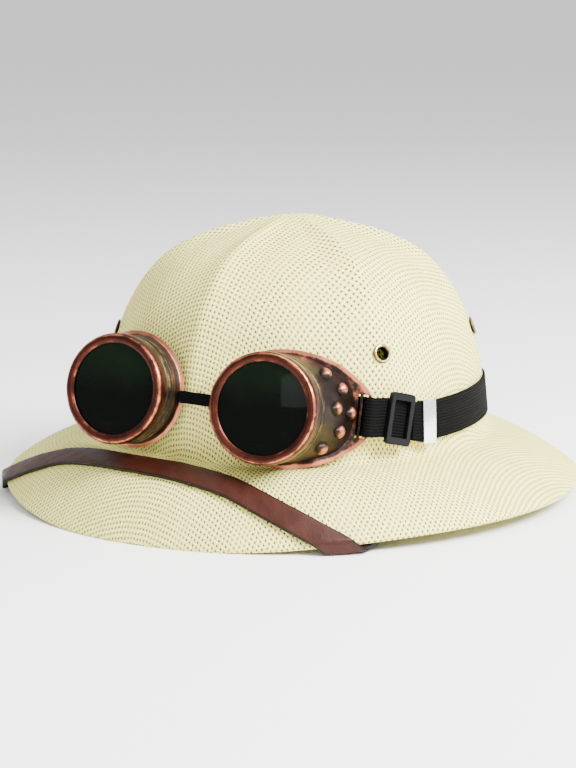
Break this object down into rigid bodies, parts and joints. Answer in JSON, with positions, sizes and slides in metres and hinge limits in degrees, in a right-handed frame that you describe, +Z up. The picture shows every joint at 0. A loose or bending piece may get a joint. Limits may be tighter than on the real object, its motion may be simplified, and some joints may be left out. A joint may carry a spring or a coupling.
{
  "type": "pith helmet with goggles",
  "caption": "Straw pith helmet with moulded ridges, brass eyelets and a leather chin strap, and round copper goggles on a black elastic strap round its crown.",
  "frame": {"origin": "bottom centre of the bounding box, on the surface the brim rests on", "axes": "+Z up through the crown, the front of the helmet along -Y, the wearer's left along +X"},
  "size_m": [0.312, 0.315, 0.147],
  "materials": {
    "straw": "open plain weave of paper straw",
    "brass": "antique",
    "copper": "metallic copper",
    "bronze": "aged bronze",
    "dark_lens": "dark tinted gloss",
    "elastic": "ribbed elastic webbing",
    "black_plastic": "satin",
    "bright_steel": "bright",
    "leather": "smooth brown"
  },
  "bodies": {
    "root": {"shell": "straw", "eyelet_1": "brass", "eyelet_2": "brass", "eyelet_3": "brass", "eyelet_4": "brass", "goggle_ring_left": "copper", "goggle_lens_left": "dark_lens", "goggle_collar_left": "bronze", "goggle_cup_left": "bronze", "goggle_ring_right": "copper", "goggle_lens_right": "dark_lens", "goggle_collar_right": "bronze", "goggle_cup_right": "bronze", "elastic_strap": "elastic", "strap_tail": "elastic", "bridge_strap": "elastic", "slider": "black_plastic", "end_clip": "bright_steel", "chin_strap": "leather"}
  },
  "joints": []
}
